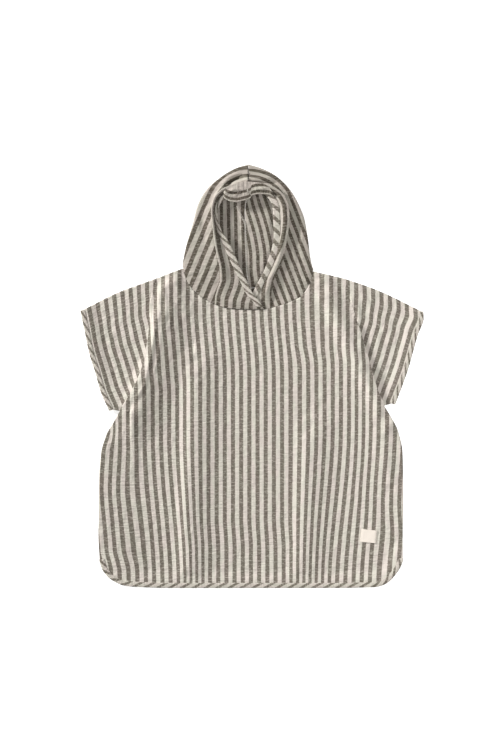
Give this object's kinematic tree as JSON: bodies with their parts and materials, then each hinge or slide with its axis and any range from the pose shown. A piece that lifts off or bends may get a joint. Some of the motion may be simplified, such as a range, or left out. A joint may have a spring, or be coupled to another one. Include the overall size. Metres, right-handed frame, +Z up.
{
  "type": "hooded bath poncho",
  "caption": "Child's hooded bath poncho in striped crinkle cotton with short cut-on sleeves and bound edges, laid flat face up.",
  "frame": {"origin": "under the middle of the garment's outline, on the surface that it lies on", "axes": "+Y from the hem towards the hood, +X towards the garment's left sleeve, which is on the viewer's right, +Z up out of the surface"},
  "size_m": [0.6336, 0.7816, 0.0186],
  "materials": {
    "body_cloth": "crinkled double gauze cotton with woven stripes, matt",
    "hood_cloth": "crinkled double gauze cotton with woven stripes, matt",
    "binding_cloth": "bias strip of the same striped cotton, matt",
    "label_cloth": "woven cotton tape, matt"
  },
  "bodies": {
    "root": {"front_panel": "body_cloth", "back_panel": "body_cloth", "hood_left": "hood_cloth", "hood_right": "hood_cloth", "hood_binding": "binding_cloth", "hem_binding_front": "binding_cloth", "hem_binding_back": "binding_cloth", "cuff_binding_left": "binding_cloth", "cuff_binding_right": "binding_cloth", "label": "label_cloth"}
  },
  "joints": []
}
